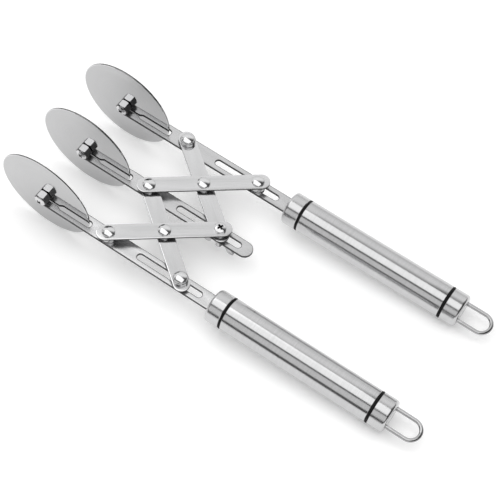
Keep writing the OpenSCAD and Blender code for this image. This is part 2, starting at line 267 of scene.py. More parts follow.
def steel(name, tone, shine, lines, relief, source="grain", side_shade=None, side_level=SIDE_LEVEL,
          edge_shade_highlight=None):
    """Stainless steel: tone is darkest and lightest grey, shine the roughness range, lines the
    length and width of the finishing lines in mm, relief their depth in mm. Faces less level than
    side_level are painted near black on the sides as shade, going to a darker grey underneath,
    with the dull mill roughness. Blades are painted at the edge: a dark grey on the rim as
    painted shade and a light grey on the bevel as a painted highlight."""
    made = bpy.data.materials.new(name)
    made.use_nodes = True
    tree = made.node_tree
    shader = tree.nodes["Principled BSDF"]
    shader.inputs["Metallic"].default_value = 1
    if source == "grain":
        along = step(tree, "ShaderNodeAttribute", attribute_name="grain").outputs["Vector"]
        size = (1 / lines[0], 1 / lines[0], 1 / lines[1])
    else:
        along = tree.nodes.new("ShaderNodeTexCoord").outputs["Object"]
        size = (1 / MM / lines[0], 1 / MM / lines[0], 1 / MM / lines[1])
    fitted = step(tree, "ShaderNodeMapping", {"Vector": along, "Scale": size}).outputs[0]
    fine = step(tree, "ShaderNodeTexNoise",
                {"Vector": fitted, "Scale": 1, "Detail": 5, "Roughness": 0.62}).outputs["Fac"]
    broad = step(tree, "ShaderNodeTexNoise",
                 {"Vector": tree.nodes.new("ShaderNodeTexCoord").outputs["Object"],
                  "Scale": CLOUD_SCALE, "Detail": 3}).outputs["Fac"]
    mixed = calc(tree, "ADD", calc(tree, "MULTIPLY", fine, FINE_SHARE),
                 calc(tree, "MULTIPLY", broad, 1 - FINE_SHARE))
    grey = step(tree, "ShaderNodeMapRange",
                {"Value": mixed, "From Min": NOISE_LOW, "From Max": NOISE_HIGH,
                 "To Min": tone[0], "To Max": tone[1]}).outputs[0]
    dull = step(tree, "ShaderNodeMapRange",
                {"Value": mixed, "From Min": NOISE_LOW, "From Max": NOISE_HIGH,
                 "To Min": shine[1], "To Max": shine[0]}).outputs[0]
    faced = tree.nodes.new("ShaderNodeNewGeometry").outputs["True Normal"]
    # Painted edge: the rim is painted dark as shade and the bevel bright as a highlight.
    if edge_shade_highlight:
        level = calc(tree, "ABSOLUTE", parts_of(tree, faced)[0])
        on_edge = calc(tree, "LESS_THAN", level, FACE_LEVEL)
        painted_edge_grey = step(tree, "ShaderNodeMapRange",
                         {"Value": level, "From Min": RIM_LEVEL, "From Max": BEVEL_LEVEL,
                          "To Min": edge_shade_highlight[0], "To Max": edge_shade_highlight[1]}).outputs[0]
        grey = step(tree, "ShaderNodeMix",
                    {"Factor": on_edge, "A": grey, "B": painted_edge_grey}).outputs[0]
    # Painted shade: faces less level than side_level are near black on the sides, going to a darker grey
    # underneath.
    if side_shade:
        upright = step(tree, "ShaderNodeVectorMath", {0: faced, 1: plane_up},
                       operation="DOT_PRODUCT").outputs["Value"]
        side = calc(tree, "LESS_THAN", upright, side_level)
        side_and_under_grey = step(tree, "ShaderNodeMapRange",
                   {"Value": upright, "From Min": -1, "From Max": 0,
                    "To Min": UNDERSIDE_GREY, "To Max": side_shade}).outputs[0]
        grey = step(tree, "ShaderNodeMix", {"Factor": side, "A": grey, "B": side_and_under_grey}).outputs[0]
        dull = step(tree, "ShaderNodeMix",
                    {"Factor": side, "A": dull, "B": MILL_ROUGH}).outputs[0]
    colour = step(tree, "ShaderNodeCombineColor",
                  {0: grey, 1: grey, 2: calc(tree, "MULTIPLY", grey, COOL_TINT)}).outputs[0]
    tree.links.new(colour, shader.inputs["Base Color"])
    tree.links.new(dull, shader.inputs["Roughness"])
    bump = step(tree, "ShaderNodeBump",
                {"Height": fine, "Strength": 1, "Distance": relief * MM}).outputs[0]
    tree.links.new(bump, shader.inputs["Normal"])
    return made


# The side faces and rolled edges are painted near black as shade.
stem_steel = steel("stem_satin_steel", (0.56, 0.67), (0.2, 0.3), (9, 0.11), 0.0007, side_shade=0.05,
                   side_level=ROLL_LEVEL)
strip_tree, given = node_tree("cut_strip", ("Thickness", "Float"))
edges = step(strip_tree, "GeometryNodeMeshToCurve", {"Mesh": given["Geometry"]}).outputs[0]
close_tree(strip_tree, thick_sheet(strip_tree, edges, given["Thickness"]), given["Finish"])


def fork_side(side, tip):
    """One side of the fork, from the prong's tip back to the slit."""
    return [(side * STEM_WIDTH / 2, tip), (side * PRONG_INNER, tip),
            (side * PRONG_INNER, PRONG_STEP), (side * SLIT_WIDTH / 2, PRONG_STEP - STEP_LENGTH)]


for side in ("left", "middle", "right"):
    low, high = span(side + "_stem")
    mid_x, rear, tip = front[side].x, low.y, high.y
    slit = arc(0, SLIT_END, SLIT_WIDTH / 2, 0, -180, 20)
    if side == "middle":
        back = arc(0, rear + STEM_WIDTH / 2, STEM_WIDTH / 2, 180, 360, 40)
    else:
        back = [(-STEM_WIDTH / 2, rear), (STEM_WIDTH / 2, rear)]
    corners = back + fork_side(1, tip) + slit + fork_side(-1, tip)[::-1]
    ease = [0] * len(back) + FORK_EASE + [0] * len(slit) + FORK_EASE[::-1]
    hole = arc(0, 0, PIVOT_HOLE / 2, 0, 345, 23)
    slot = (arc(0, -SLOT_FROM, SLOT_WIDTH / 2, 0, 180, 24)
            + arc(0, -SLOT_TO, SLOT_WIDTH / 2, 180, 360, 24))
    strip = rolled_sheet(outline([eased(corners, ease), hole, slot]), strip_tree, stem_steel,
                         STEM_THICK, STEM_ROLL)
    settle(side + "_stem", strip, Matrix.Translation((mid_x, 0, low.z)))

# Discs
# Three thin blades punched from stainless sheet, ground flat, then polished to a near mirror
# with faint rings from the wheel. The rim is painted dark as shade, and a narrow bevel on it is
# painted bright as a highlight.
DISC_RADIUS = 31
DISC_THICK = 1
DISC_BORE = 2.06
RIM_EDGE, RIM_DROP, RIM_BREAK = 0.5, 0.1, 0.05
FACE_RINGS, DISC_STEPS = 6, 192
BORE_NICK = 0.12
# The rim is painted dark as shade and the narrow bevel light as a highlight.
disc_steel = steel("disc_polished_steel", (0.46, 0.51), (0.05, 0.085), (40, 0.16), 0.00006,
                   edge_shade_highlight=(0.16, 0.62))
turned_tree, given = node_tree("turned", ("Segments", "Int"))
rows = step(turned_tree, "GeometryNodeAttributeDomainSize",
            {"Geometry": given["Geometry"]}).outputs["Point Count"]
last = calc(turned_tree, "SUBTRACT", rows, 1)
grid = step(turned_tree, "GeometryNodeMeshGrid",
            {"Size X": given["Segments"], "Size Y": last, "Vertices Y": rows,
             "Vertices X": calc(turned_tree, "ADD", given["Segments"], 1)}).outputs[0]
here = turned_tree.nodes.new("GeometryNodeInputPosition").outputs[0]
cell = parts_of(turned_tree, here)
share = calc(turned_tree, "ADD", calc(turned_tree, "DIVIDE", cell[0], given["Segments"]), 0.5)
turn = calc(turned_tree, "MULTIPLY", share, math.tau)
row = calc(turned_tree, "ROUND",
           calc(turned_tree, "ADD", cell[1], calc(turned_tree, "MULTIPLY", last, 0.5)))
found = step(turned_tree, "GeometryNodeSampleIndex",
             {"Geometry": given["Geometry"], "Value": here, "Index": row},
             data_type="FLOAT_VECTOR", domain="POINT").outputs[0]
reach = parts_of(turned_tree, found)
x = calc(turned_tree, "MULTIPLY", reach[0], calc(turned_tree, "COSINE", turn))
y = calc(turned_tree, "MULTIPLY", reach[0], calc(turned_tree, "SINE", turn))
lined = with_grain(turned_tree, grid, vector(turned_tree, x, y, reach[1]))
swept = step(turned_tree, "GeometryNodeSetPosition",
             {"Geometry": lined, "Position": vector(turned_tree, x, y, reach[2])}).outputs[0]
whole = step(turned_tree, "GeometryNodeMergeByDistance",
             {"Geometry": swept, "Distance": SEAM_GAP}).outputs[0]
close_tree(turned_tree, whole, given["Finish"])


def profile(points):
    """Radius and height of a turned piece, row by row, with the run along its surface."""
    rows, run = [], 0
    for i, (radius, height) in enumerate(points):
        if i:
            run += math.dist(points[i - 1], points[i])
        rows.append((radius, run, height))
    mesh = bpy.data.meshes.new("profile")
    mesh.from_pydata(rows, [], [])
    return mesh


def turned(points, finish, segments=64):
    return grow(profile(points), turned_tree, finish, Segments=segments)


def chamfered(inner, outer, low, high, cut):
    """Closed profile of a ring with its outer corners cut and its bore corners just broken."""
    nick = min(cut, BORE_NICK)
    return [(inner, low + nick), (inner + nick, low), (outer - cut, low), (outer, low + cut),
            (outer, high - cut), (outer - cut, high), (inner + nick, high), (inner, high - nick),
            (inner, low + nick)]


across = Matrix.Rotation(math.radians(-90), 4, "Y")
half = DISC_THICK / 2
rim = half - RIM_DROP
face_rows = [DISC_BORE + (DISC_RADIUS - RIM_EDGE - DISC_BORE) * i / FACE_RINGS
             for i in range(FACE_RINGS + 1)]
disc_rows = ([(r, half) for r in face_rows]
             + [(DISC_RADIUS - RIM_BREAK, rim), (DISC_RADIUS, rim - RIM_BREAK)]
             + [(DISC_RADIUS, RIM_BREAK - rim), (DISC_RADIUS - RIM_BREAK, -rim)]
             + [(r, -half) for r in reversed(face_rows)] + [(DISC_BORE, half)])
axle = {side: pivot(side + "_disc_spin") for side in front}
for side in front:
    settle(side + "_disc", turned(disc_rows, disc_steel, DISC_STEPS),
           Matrix.Translation(axle[side]) @ across, corner=10)

# Axle screws
# Machine screws of 4 mm with a polished pan head and a cross recess, put in from the left.
# The rolled thread ends one turn past the far nut, with a chamfered point.
SCREW_RADIUS = 2
HEAD_RADIUS, HEAD_HEIGHT = 3.5, 1.5
HEAD_CORNER, HEAD_FOOT = 0.12, 0.15
THREAD_PITCH, THREAD_DEPTH, TURN_ROWS, TURN_STEPS = 0.7, 0.42, 8, 48
POINT_CUT = 1.4 * THREAD_DEPTH
RECESS_LENGTH, RECESS_WIDTH, RECESS_SHARE = 4.4, 1.35, 0.56
RECESS_FOOT, RECESS_MOUTH, RECESS_CUT = 0.36, 0.86, 2
RECESS_SKIN, RECESS_SPARE, RECESS_REACH = 0.07, 0.05, 0.7 * RECESS_LENGTH
ROD_OVERLAP, ROD_TIP = 0.5, 0.0001
AXLE_DOME = 1.2
NUT_OUT = 5.6
AXLE_END = 6.6
screw_steel = steel("screw_bright_steel", (0.6, 0.68), (0.07, 0.13), (0.6, 0.6), 0.0004, "object")
# The cross recess is painted near black as shade.
recess_steel = steel("recess_painted_shade_steel", (0.02, 0.05), (0.4, 0.55), (0.5, 0.5), 0.001, "object")
screw_tree, given = node_tree("cross_head_screw", ("Segments", "Int"), ("Seat", "Float"),
                              ("Point", "Float"), ("Top", "Float"), ("Recess", "Float"),
                              ("Dome", "Float"), ("Recess Finish", "Material"))
head = step(screw_tree, "GeometryNodeGroup",
            {"Geometry": given["Geometry"], "Segments": given["Segments"]},
            node_tree=turned_tree).outputs[0]
rod_top = calc(screw_tree, "ADD", given["Seat"], ROD_OVERLAP)
rod = calc(screw_tree, "SUBTRACT", rod_top, given["Point"])
rod_rows = calc(screw_tree, "ROUND", calc(screw_tree, "MULTIPLY", rod, TURN_ROWS / THREAD_PITCH))
rod_grid = step(screw_tree, "GeometryNodeMeshGrid",
                {"Size X": 1, "Size Y": rod_rows, "Vertices X": TURN_STEPS + 1,
                 "Vertices Y": calc(screw_tree, "ADD", rod_rows, 1)}).outputs[0]
cell = parts_of(screw_tree, screw_tree.nodes.new("GeometryNodeInputPosition").outputs[0])
share = calc(screw_tree, "ADD", cell[0], 0.5)
climb = calc(screw_tree, "DIVIDE",
             calc(screw_tree, "ADD", cell[1], calc(screw_tree, "MULTIPLY", rod_rows, 0.5)),
             rod_rows)
height = calc(screw_tree, "MULTIPLY", climb, rod)
wave = calc(screw_tree, "FRACT",
            calc(screw_tree, "ADD", share, calc(screw_tree, "DIVIDE", height, THREAD_PITCH)))
flank = calc(screw_tree, "ABSOLUTE",
             calc(screw_tree, "SUBTRACT", calc(screw_tree, "MULTIPLY", wave, 2), 1))
cut = calc(screw_tree, "SUBTRACT", SCREW_RADIUS,
           calc(screw_tree, "MULTIPLY", calc(screw_tree, "SUBTRACT", 1, flank), THREAD_DEPTH))
pointed = calc(screw_tree, "MINIMUM", cut,
               calc(screw_tree, "ADD", height, SCREW_RADIUS - POINT_CUT))
ends = calc(screw_tree, "MULTIPLY", calc(screw_tree, "GREATER_THAN", climb, ROD_TIP),
            calc(screw_tree, "LESS_THAN", climb, 1 - ROD_TIP))
girth = calc(screw_tree, "MULTIPLY", pointed, ends)
turn = calc(screw_tree, "MULTIPLY", share, math.tau)
rod_place = vector(screw_tree,
                   calc(screw_tree, "MULTIPLY", girth, calc(screw_tree, "COSINE", turn)),
                   calc(screw_tree, "MULTIPLY", girth, calc(screw_tree, "SINE", turn)),
                   calc(screw_tree, "ADD", height, given["Point"]))
rod_skin = step(screw_tree, "GeometryNodeSetPosition",
                {"Geometry": rod_grid, "Position": rod_place}).outputs[0]
rod_mesh = step(screw_tree, "GeometryNodeMergeByDistance",
                {"Geometry": rod_skin, "Distance": SEAM_GAP}).outputs[0]
blade = step(screw_tree, "GeometryNodeMeshCone",
             {"Vertices": 4, "Radius Bottom": RECESS_FOOT, "Radius Top": RECESS_MOUTH,
              "Depth": RECESS_CUT})
recess_floor = vector(screw_tree, 0, 0,
                      calc(screw_tree, "SUBTRACT", given["Top"], given["Recess"]))
screw = head
for quarter in (45, 135):
    turned_blade = step(screw_tree, "GeometryNodeTransform",
                        {"Geometry": blade.outputs[0],
                         "Rotation": (0, 0, math.radians(45))}).outputs[0]
    long_blade = step(screw_tree, "GeometryNodeTransform",
                      {"Geometry": turned_blade,
                       "Scale": (RECESS_LENGTH, RECESS_WIDTH, 1)}).outputs[0]
    set_blade = step(screw_tree, "GeometryNodeTransform",
                     {"Geometry": long_blade, "Translation": recess_floor,
                      "Rotation": (0, 0, math.radians(quarter))}).outputs[0]
    screw = step(screw_tree, "GeometryNodeMeshBoolean",
                 {"Mesh 1": screw, "Mesh 2": set_blade}, operation="DIFFERENCE",
                 solver="EXACT").outputs[0]
union = step(screw_tree, "GeometryNodeMeshBoolean", {"Mesh 2": screw}, operation="UNION",
             solver="EXACT")
screw_tree.links.new(rod_mesh, union.inputs["Mesh 2"])
# Faces sunk in the recess take the painted shade finish.
spot = parts_of(screw_tree, screw_tree.nodes.new("GeometryNodeInputPosition").outputs[0])
off_axis = calc(screw_tree, "ADD", calc(screw_tree, "POWER", spot[0], 2),
                calc(screw_tree, "POWER", spot[1], 2))
depth = calc(screw_tree, "SUBTRACT", given["Top"], spot[2])
skin = calc(screw_tree, "DIVIDE", off_axis, calc(screw_tree, "MULTIPLY", given["Dome"], 2))
sunk = calc(screw_tree, "GREATER_THAN", depth, calc(screw_tree, "ADD", skin, RECESS_SKIN))
held = calc(screw_tree, "LESS_THAN", depth,
            calc(screw_tree, "ADD", given["Recess"], RECESS_SPARE))
near = calc(screw_tree, "LESS_THAN", off_axis, RECESS_REACH ** 2)
shaded_recess_faces = calc(screw_tree, "MULTIPLY", sunk, calc(screw_tree, "MULTIPLY", held, near))
close_tree(screw_tree, union.outputs[0], given["Finish"], shaded_recess_faces, given["Recess Finish"])


def cross_head_screw(seat, point, head_height, flatter):
    """A screw along z with its head above the seat, its dome flatter by that much radius."""
    dome_radius = (HEAD_RADIUS ** 2 + head_height ** 2) / (2 * head_height) + flatter
    centre = seat + head_height - dome_radius
    edge = math.degrees(math.acos((HEAD_RADIUS - HEAD_CORNER) / dome_radius))
    dome = arc(0, centre, dome_radius, 90, edge, 14)
    shoulder = dome[-1][1] - HEAD_CORNER
    rows = [(0, seat), (HEAD_RADIUS - HEAD_FOOT, seat), (HEAD_RADIUS, seat + HEAD_FOOT),
            (HEAD_RADIUS, shoulder)] + dome[::-1]
    rows[-1] = (0, seat + head_height)
    return grow(profile(rows), screw_tree, screw_steel, Segments=TURN_STEPS, Seat=float(seat),
                Point=float(point), Top=float(seat + head_height),
                Recess=RECESS_SHARE * head_height, Dome=dome_radius,
                Recess_Finish=recess_steel)


for side in front:
    settle(side + "_axle_screw", cross_head_screw(NUT_OUT, -AXLE_END, HEAD_HEIGHT, AXLE_DOME),
           Matrix.Translation(axle[side]) @ across, corner=28)

# Axle nuts
# Tall hexagon nuts, 7.5 mm across flats, one spot welded by a flat to each prong tip. The upper
# flat is polished with the prong and painted bright as a highlight; the others are painted dark
# as shade. Both ends are turned to a cone.
NUT_FLATS = 7.5
NUT_THICK = 4.7
NUT_BORE, NUT_BORE_CUT = 2.02, 0.25
NUT_FACE_INSET, NUT_CONE = 0.08, math.radians(30)
CUT_SPARE, BAR_SPARE = 0.02, 1.5
FLANK_LEVEL = 0.7
# The upper flat is painted bright as a highlight and the other flats dark as shade.
nut_steel = steel("nut_painted_light_steel", (0.82, 0.94), (0.08, 0.14), (0.7, 0.7), 0.0006, "object",
                  side_shade=0.11, side_level=FLANK_LEVEL)
nut_tree, given = node_tree("hexagon_nut", ("Segments", "Int"), ("Across Flats", "Float"),
                            ("Thickness", "Float"))
cone = step(nut_tree, "GeometryNodeGroup",
            {"Geometry": given["Geometry"], "Segments": given["Segments"]},
            node_tree=turned_tree).outputs[0]
bar = step(nut_tree, "GeometryNodeMeshCylinder",
           {"Vertices": 6, "Depth": calc(nut_tree, "MULTIPLY", given["Thickness"], BAR_SPARE),
            "Radius": calc(nut_tree, "DIVIDE", given["Across Flats"], math.sqrt(3))}).outputs[0]
hexagon = step(nut_tree, "GeometryNodeMeshBoolean", {"Mesh 2": cone}, operation="INTERSECT",
               solver="EXACT")
nut_tree.links.new(bar, hexagon.inputs["Mesh 2"])
close_tree(nut_tree, hexagon.outputs[0], given["Finish"])
nut_corner = NUT_FLATS / math.sqrt(3) + CUT_SPARE
nut_face = NUT_FLATS / 2 - NUT_FACE_INSET
nut_drop = (nut_corner - nut_face) * math.tan(NUT_CONE)
nut_half = NUT_THICK / 2
nut_rows = [(NUT_BORE, NUT_BORE_CUT - nut_half), (NUT_BORE + NUT_BORE_CUT, -nut_half),
            (nut_face, -nut_half), (nut_corner, nut_drop - nut_half),
            (nut_corner, nut_half - nut_drop), (nut_face, nut_half),
            (NUT_BORE + NUT_BORE_CUT, nut_half), (NUT_BORE, nut_half - NUT_BORE_CUT),
            (NUT_BORE, NUT_BORE_CUT - nut_half)]
for side in front:
    for name, shift in (("_head_nut", nut_half - NUT_OUT), ("_end_nut", NUT_OUT - nut_half)):
        nut = grow(profile(nut_rows), nut_tree, nut_steel, Segments=72,
                   Across_Flats=NUT_FLATS, Thickness=NUT_THICK)
        settle(side + name, nut, Matrix.Translation(axle[side] + Vector((shift, 0, 0))) @ across
               @ Matrix.Rotation(math.radians(30), 4, "Z"), corner=20)

# Links
# Four round-ended bars of 1.2 mm sheet with three holes each, in two layers, satin finished.
# They cross in pairs and swing on the rivets, the upper pair with their ends under the heads.
LINK_WIDTH, LINK_END = 9.8, 7.1
LINK_THICK = 1.2
LINK_ROLL = 0.5
END_ROUND = 0.49999
LINK_PITCH = slide["right"].length
# The side faces are painted near black as shade.
link_steel = steel("link_satin_steel", (0.6, 0.69), (0.1, 0.17), (10, 0.12), 0.0005, side_shade=0.05)
link_tree, given = node_tree("link_bar", ("Pitch", "Float"), ("Width", "Float"),
                             ("End", "Float"), ("Thickness", "Float"), ("Bore", "Float"))
plate = step(link_tree, "GeometryNodeCurvePrimitiveQuadrilateral",
             {"Width": given["Width"],
              "Height": calc(link_tree, "ADD", given["Pitch"],
                             calc(link_tree, "MULTIPLY", given["End"], 2))}).outputs[0]
rounded = step(link_tree, "GeometryNodeFilletCurve",
               {"Curve": plate, "Count": 14, "Limit Radius": True,
                "Radius": calc(link_tree, "MULTIPLY", given["Width"], END_ROUND)},
               mode="POLY").outputs[0]
bore = step(link_tree, "GeometryNodeCurvePrimitiveCircle",
            {"Resolution": 32, "Radius": calc(link_tree, "MULTIPLY", given["Bore"], 0.5)})
cut_out = step(link_tree, "GeometryNodeJoinGeometry", {"Geometry": rounded})
for place in (-0.5, 0, 0.5):
    moved = step(link_tree, "GeometryNodeTransform",
                 {"Geometry": bore.outputs[0],
                  "Translation": vector(link_tree, 0.0,
                                        calc(link_tree, "MULTIPLY", given["Pitch"], place), 0.0)})
    link_tree.links.new(moved.outputs[0], cut_out.inputs[0])
close_tree(link_tree, thick_sheet(link_tree, cut_out.outputs[0], given["Thickness"]),
           given["Finish"])
link_turn = math.atan2(slide["right"].x, -slide["right"].y)
for name, hand, way in (("upper_right", "middle", 1), ("lower_right", "right", -1),
                        ("upper_left", "left", 1), ("lower_left", "middle", -1)):
    bar = rolled_sheet(bpy.data.meshes.new("plate"), link_tree, link_steel, LINK_THICK,
                       LINK_ROLL, Pitch=LINK_PITCH, Width=LINK_WIDTH, End=LINK_END,
                       Bore=PIVOT_HOLE)
    settle(name + "_link", bar,
           Matrix.Translation((front[hand].x, 0, span(name + "_link")[0].z))
           @ Matrix.Rotation(way * link_turn, 4, "Z")
           @ Matrix.Translation((0, -LINK_PITCH / 2, 0)))

# Rivets
# Seven solid rivets with a polished domed head on top and a set, slightly crowned closing head
# below. They join the links at the front pivots, at the crossings and in the outer slots.
RIVET_RADIUS = 2
RIVET_HEAD, RIVET_HEIGHT, RIVET_WALL = 3.8, 1.8, 0.6
PIVOT_FOOT, CROSS_FOOT = 1.2, 0.8
RIVET_BRIM = [(0.08, 0.1), (0, 0.25)]
BRIM_INSET = 0.2
SEAT_NICK, SEAT_RISE = 0.06, 0.1
SET_MARK = [(1.3, 0), (1.1, 0.18), (0, 0.22)]
rivet_steel = steel("rivet_polished_steel", (0.64, 0.7), (0.06, 0.1), (0.8, 0.8), 0.0003, "object")
rivet_crown = RIVET_HEIGHT - RIVET_WALL
rivet_dome = (RIVET_HEAD ** 2 + rivet_crown ** 2) / (2 * rivet_crown)
for name, spot, foot in (("front_left", front["left"], PIVOT_FOOT),
                         ("front_middle", front["middle"], PIVOT_FOOT),
                         ("front_right", front["right"], PIVOT_FOOT),
                         ("cross_left", cross["left"], CROSS_FOOT),
                         ("cross_right", cross["right"], CROSS_FOOT),
                         ("slide_left", slide["left"], PIVOT_FOOT),
                         ("slide_right", slide["right"], PIVOT_FOOT)):
    low, high = span(name + "_rivet")
    seat, under = high.z - RIVET_HEIGHT, low.z + foot
    brim = math.degrees(math.acos((RIVET_HEAD - BRIM_INSET) / rivet_dome))
    dome = arc(0, high.z - rivet_dome, rivet_dome, 90, brim, 20)
    dome[0] = (0, high.z)
    shoulder = dome[-1][1]
    dome += [(RIVET_HEAD - inset, shoulder - drop) for inset, drop in RIVET_BRIM]
    crown = arc(RIVET_HEAD - 0.5 * foot, low.z + 0.5 * foot, 0.5 * foot, 0, -90, 6)
    rows = (dome + [(RIVET_HEAD, seat + SEAT_RISE), (RIVET_HEAD - SEAT_NICK, seat),
                    (RIVET_RADIUS, seat), (RIVET_RADIUS, under), (RIVET_HEAD, under)] + crown
            + [(radius, low.z + rise) for radius, rise in SET_MARK])
    settle(name + "_rivet", turned(rows, rivet_steel),
           Matrix.Translation((spot.x, spot.y, 0)), corner=25)

# Spacers and washers
# Turned steel rings that fill the empty layers between stems and links at each pivot, and the
# washers under the sliding rivets and the lock. Their outer corners are chamfered.
SPACER_RADIUS = 4.5
SPACER_BORE = 2.02
SPACER_CUT, CUT_SHARE = 0.3, 0.2
spacer_steel = steel("spacer_turned_steel", (0.42, 0.55), (0.08, 0.15), (6, 0.09), 0.0008)
for name, spot in (("front_left_spacer", front["left"]),
                   ("front_middle_low_spacer", front["middle"]),
                   ("front_middle_high_spacer", front["middle"]),
                   ("front_right_low_spacer", front["right"]),
                   ("front_right_high_spacer", front["right"]),
                   ("cross_left_spacer", cross["left"]), ("cross_right_spacer", cross["right"]),
                   ("slide_left_low_spacer", slide["left"]),
                   ("slide_left_high_spacer", slide["left"]),
                   ("slide_right_spacer", slide["right"]), ("slide_left_washer", slide["left"]),
                   ("slide_right_washer", slide["right"]), ("lock_low_spacer", slide["middle"]),
                   ("lock_high_spacer", slide["middle"]), ("lock_washer", slide["middle"])):
    low, high = span(name)
    cut = min(SPACER_CUT, (high.z - low.z) * CUT_SHARE)
    rows = chamfered(SPACER_BORE, SPACER_RADIUS, low.z, high.z, cut)
    settle(name, turned(rows, spacer_steel), Matrix.Translation((spot.x, spot.y, 0)), corner=25)

# Lock screw and wing nut
# The lock on the middle stem's slot: a cross-recessed screw from above, and a cast wing nut
# underneath that clamps the linkage. The wings are flat, with round tips and soft edges.
WING_HUB, WING_HUB_END, WING_HUB_HEIGHT = 4.2, 3.2, 4.6
WING_REACH, WING_HEIGHT, WING_THICK = 10.6, 13, 1.8
WING_ROOT, WING_TOP, WING_FOOT = 2.6, -0.92, -4.14
WING_TIP, WING_EDGE = 0.2 * WING_HEIGHT, 0.55
TIP_INSET, TIP_RISE = 0.25, 0.3
HUB_ROUND, HUB_INSET, HUB_CUT, HUB_DROP = 0.5, 0.15, 0.3, 0.25
LOCK_HEAD, LOCK_DOME, LOCK_TURN = 2.3, 4, math.radians(20)
WING_BORE, BORE_SPARE = 2.06, 1
wing_steel = steel("wing_cast_steel", (0.52, 0.62), (0.18, 0.3), (1.1, 1.1), 0.004, "object")
low, high = span("lock_screw")
settle("lock_screw", cross_head_screw(high.z - LOCK_HEAD, low.z, LOCK_HEAD, LOCK_DOME),
       Matrix.Translation((slide["middle"].x, slide["middle"].y, 0))
       @ Matrix.Rotation(LOCK_TURN, 4, "Z"), corner=28)


def carved(mesh, tools, operation):
    """A mesh joined with, or cut by, other meshes."""
    piece = blank(mesh)
    helpers = [blank(tool) for tool in tools]
    for helper in helpers:
        cutter = piece.modifiers.new("cut", "BOOLEAN")
        cutter.object, cutter.operation, cutter.solver = helper, operation, "EXACT"
    made = evaluated(piece)
    for helper in helpers:
        bpy.data.objects.remove(helper)
    return made


hub_rows = [(0, -WING_HUB_HEIGHT)]
hub_rows += arc(WING_HUB_END - HUB_ROUND, HUB_ROUND - WING_HUB_HEIGHT, HUB_ROUND, -90, -12, 6)
hub_rows += [(WING_HUB - HUB_INSET, -HUB_DROP), (WING_HUB - HUB_CUT, 0), (0, 0)]
flares = []
for side in (1, -1):
    flare = [(WING_ROOT, WING_TOP), (WING_HUB, WING_TOP),
             (WING_REACH - TIP_INSET, WING_TIP - WING_HEIGHT - TIP_RISE)]
    flare += arc(WING_REACH - WING_TIP, WING_TIP - WING_HEIGHT, WING_TIP, 0, -180, 20)
    flare += [(WING_ROOT, WING_FOOT)]
    flat = grow(outline([[(side * x, y) for x, y in flare]]), strip_tree, wing_steel, WING_EDGE,
                Thickness=WING_THICK)
    flat.transform(Matrix.Rotation(math.radians(90), 4, "Z")
                   @ Matrix.Translation((0, WING_THICK / 2, 0))
                   @ Matrix.Rotation(math.radians(90), 4, "X"))
    flares.append(flat)
winged = carved(turned(hub_rows, wing_steel), flares, "UNION")
bore_end = -WING_HEIGHT - BORE_SPARE
bore_rows = [(0, bore_end), (WING_BORE, bore_end), (WING_BORE, BORE_SPARE), (0, BORE_SPARE)]
winged = carved(winged, [turned(bore_rows, wing_steel, TURN_STEPS)], "DIFFERENCE")
settle("wing_nut", winged,
       Matrix.Translation((slide["middle"].x, slide["middle"].y, span("wing_nut")[1].z)),
       corner=40)

# Grips
# Stainless tubes brushed around, closed by satin polished caps with a rounded edge. A black
# rubber ring sits in the groove between each cap and the tube, and the stem enters the front cap.
GRIP_RADIUS, GRIP_STEPS = 10, 128
TUBE_WALL, TUBE_LIP, TUBE_NICK, TUBE_ROWS = 1, 0.3, 0.2, 8
CAP_ROUND, CAP_BREAK = 2, 0.25
GROOVE_RADIUS = 8.4
PLUG_RADIUS, PLUG_LENGTH, PLUG_CUT = 8.98, 12, 0.5
RING_CENTRE, RING_RADIUS = 9.2, 0.78
WIRE_RADIUS = 1.25
LOOP_HALF = 6.25
LEG_DEPTH = 7.5
MOUTH_WIDE, MOUTH_FROM, MOUTH_TO = 0.35, 0.15, 0.45
EASY_FIT, END_FIT = 0.04, 0.05
TANG_AHEAD, LEG_AHEAD = 5, 1
SOOT_DARK, SOOT_LIGHT, SPECKLE_SCALE = 0.002, 0.009, 2600
tube_steel = steel("tube_brushed_steel", (0.5, 0.58), (0.13, 0.2), (16, 0.35), 0.0015)
cap_steel = steel("cap_satin_steel", (0.51, 0.61), (0.16, 0.24), (30, 0.3), 0.0008)
loop_steel = steel("loop_polished_steel", (0.46, 0.53), (0.04, 0.07), (1.5, 1.5), 0.0002, "object")
ring_rubber = bpy.data.materials.new("ring_black_rubber")
ring_rubber.use_nodes = True
rubber_tree = ring_rubber.node_tree
rubber_shader = rubber_tree.nodes["Principled BSDF"]
speckle = step(rubber_tree, "ShaderNodeTexNoise",
               {"Vector": rubber_tree.nodes.new("ShaderNodeTexCoord").outputs["Object"],
                "Scale": SPECKLE_SCALE, "Detail": 3}).outputs["Fac"]
soot = step(rubber_tree, "ShaderNodeMapRange",
            {"Value": speckle, "To Min": SOOT_DARK, "To Max": SOOT_LIGHT}).outputs[0]
rubber_tree.links.new(step(rubber_tree, "ShaderNodeCombineColor",
                           {0: soot, 1: soot, 2: soot}).outputs[0],
                      rubber_shader.inputs["Base Color"])
rubber_tree.links.new(step(rubber_tree, "ShaderNodeMapRange",
                           {"Value": speckle, "To Min": 0.6, "To Max": 0.8}).outputs[0],
                      rubber_shader.inputs["Roughness"])
rubber_shader.inputs["Specular IOR Level"].default_value = 0.25
rubber_tree.links.new(step(rubber_tree, "ShaderNodeBump",
                           {"Height": speckle, "Strength": 1, "Distance": 0.00002}).outputs[0],
                      rubber_shader.inputs["Normal"])
wire_tree, given = node_tree("bent_wire", ("Radius", "Float"))
route = step(wire_tree, "GeometryNodeMeshToCurve", {"Mesh": given["Geometry"]}).outputs[0]
girth = step(wire_tree, "GeometryNodeCurvePrimitiveCircle",
             {"Resolution": 28, "Radius": given["Radius"]}).outputs[0]
wire = step(wire_tree, "GeometryNodeCurveToMesh",
            {"Curve": route, "Profile Curve": girth, "Fill Caps": True}).outputs[0]
close_tree(wire_tree, wire, given["Finish"])


